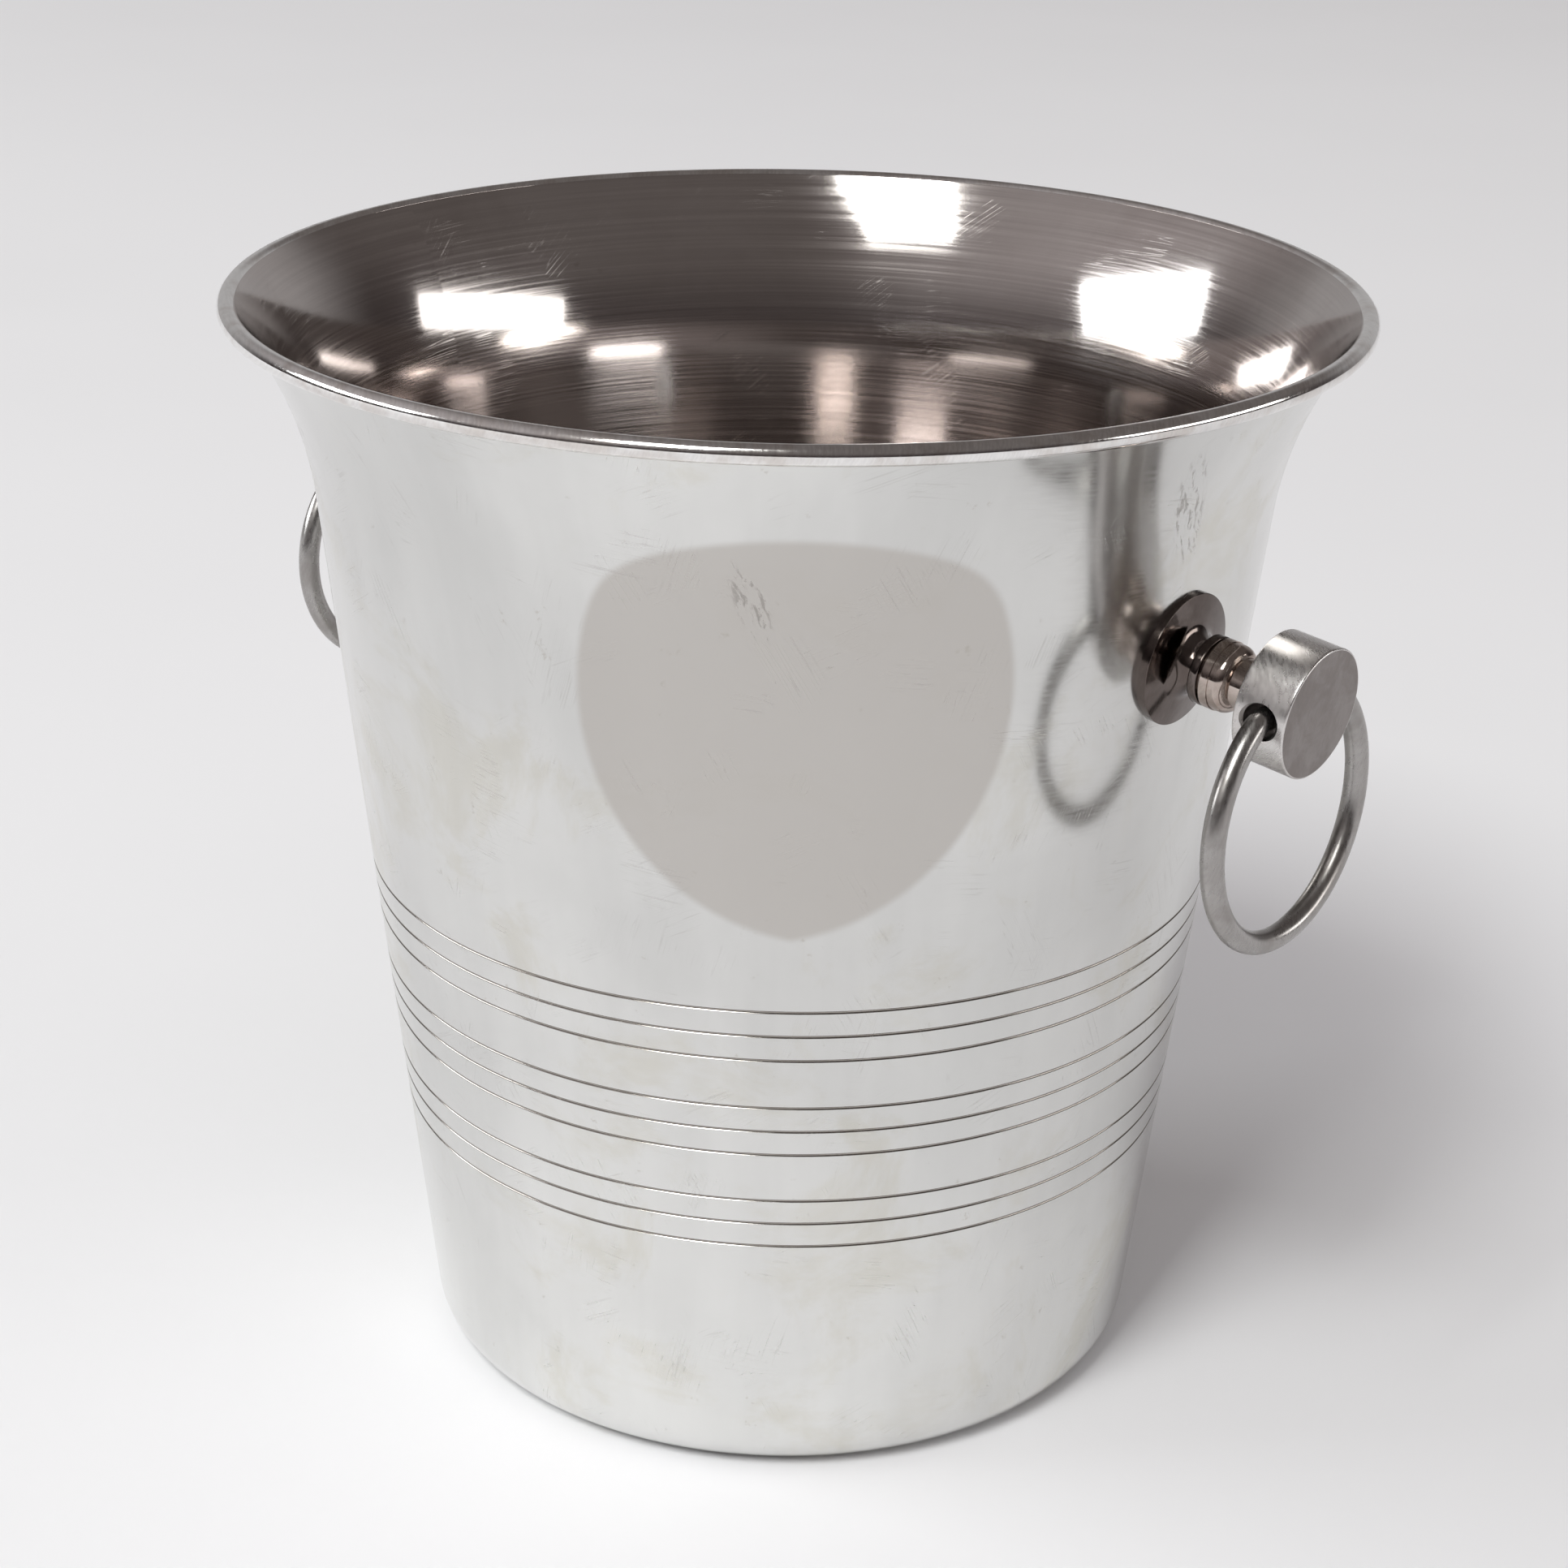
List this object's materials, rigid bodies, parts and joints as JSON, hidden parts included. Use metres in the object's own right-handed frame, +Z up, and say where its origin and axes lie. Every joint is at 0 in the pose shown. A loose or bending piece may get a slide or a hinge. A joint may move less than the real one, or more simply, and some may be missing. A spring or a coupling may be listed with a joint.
{
  "type": "champagne bucket",
  "caption": "Flared stainless steel champagne bucket with a rolled rim, incised groove bands and a swinging ring handle on a turned post at each side.",
  "frame": {"origin": "on the table under the bucket's axis, in the plane of the ring it stands on", "axes": "+Z up along the bucket's axis; the handles are on +X and -X; +Y is square to both"},
  "size_m": [0.2222, 0.2, 0.199],
  "materials": {
    "body_steel": "satin-polished outside and in, mirror-polished on the rolled rim",
    "foot_steel": "mirror-polished, slightly darkened",
    "post_steel": "polished stem, satin drum",
    "ring_steel": "satin-polished wire",
    "fixing_zinc": "bright zinc plate"
  },
  "bodies": {
    "bucket": {"bucket": "body_steel", "foot_right": "foot_steel", "foot_left": "foot_steel", "post_right": "post_steel", "post_left": "post_steel", "screws": "fixing_zinc", "washers": "fixing_zinc"},
    "ring_right": {"ring_right": "ring_steel"},
    "ring_left": {"ring_left": "ring_steel"}
  },
  "joints": [
    {"name": "ring_right_swing", "type": "hinge", "parent": "bucket", "child": "ring_right", "pos_m": [0.10507, 0, 0.14801], "axis": [0, -1, 0], "range_deg": [-35, 195]},
    {"name": "ring_left_swing", "type": "hinge", "parent": "bucket", "child": "ring_left", "pos_m": [-0.10507, 0, 0.14801], "axis": [0, 1, 0], "range_deg": [-35, 195]}
  ]
}
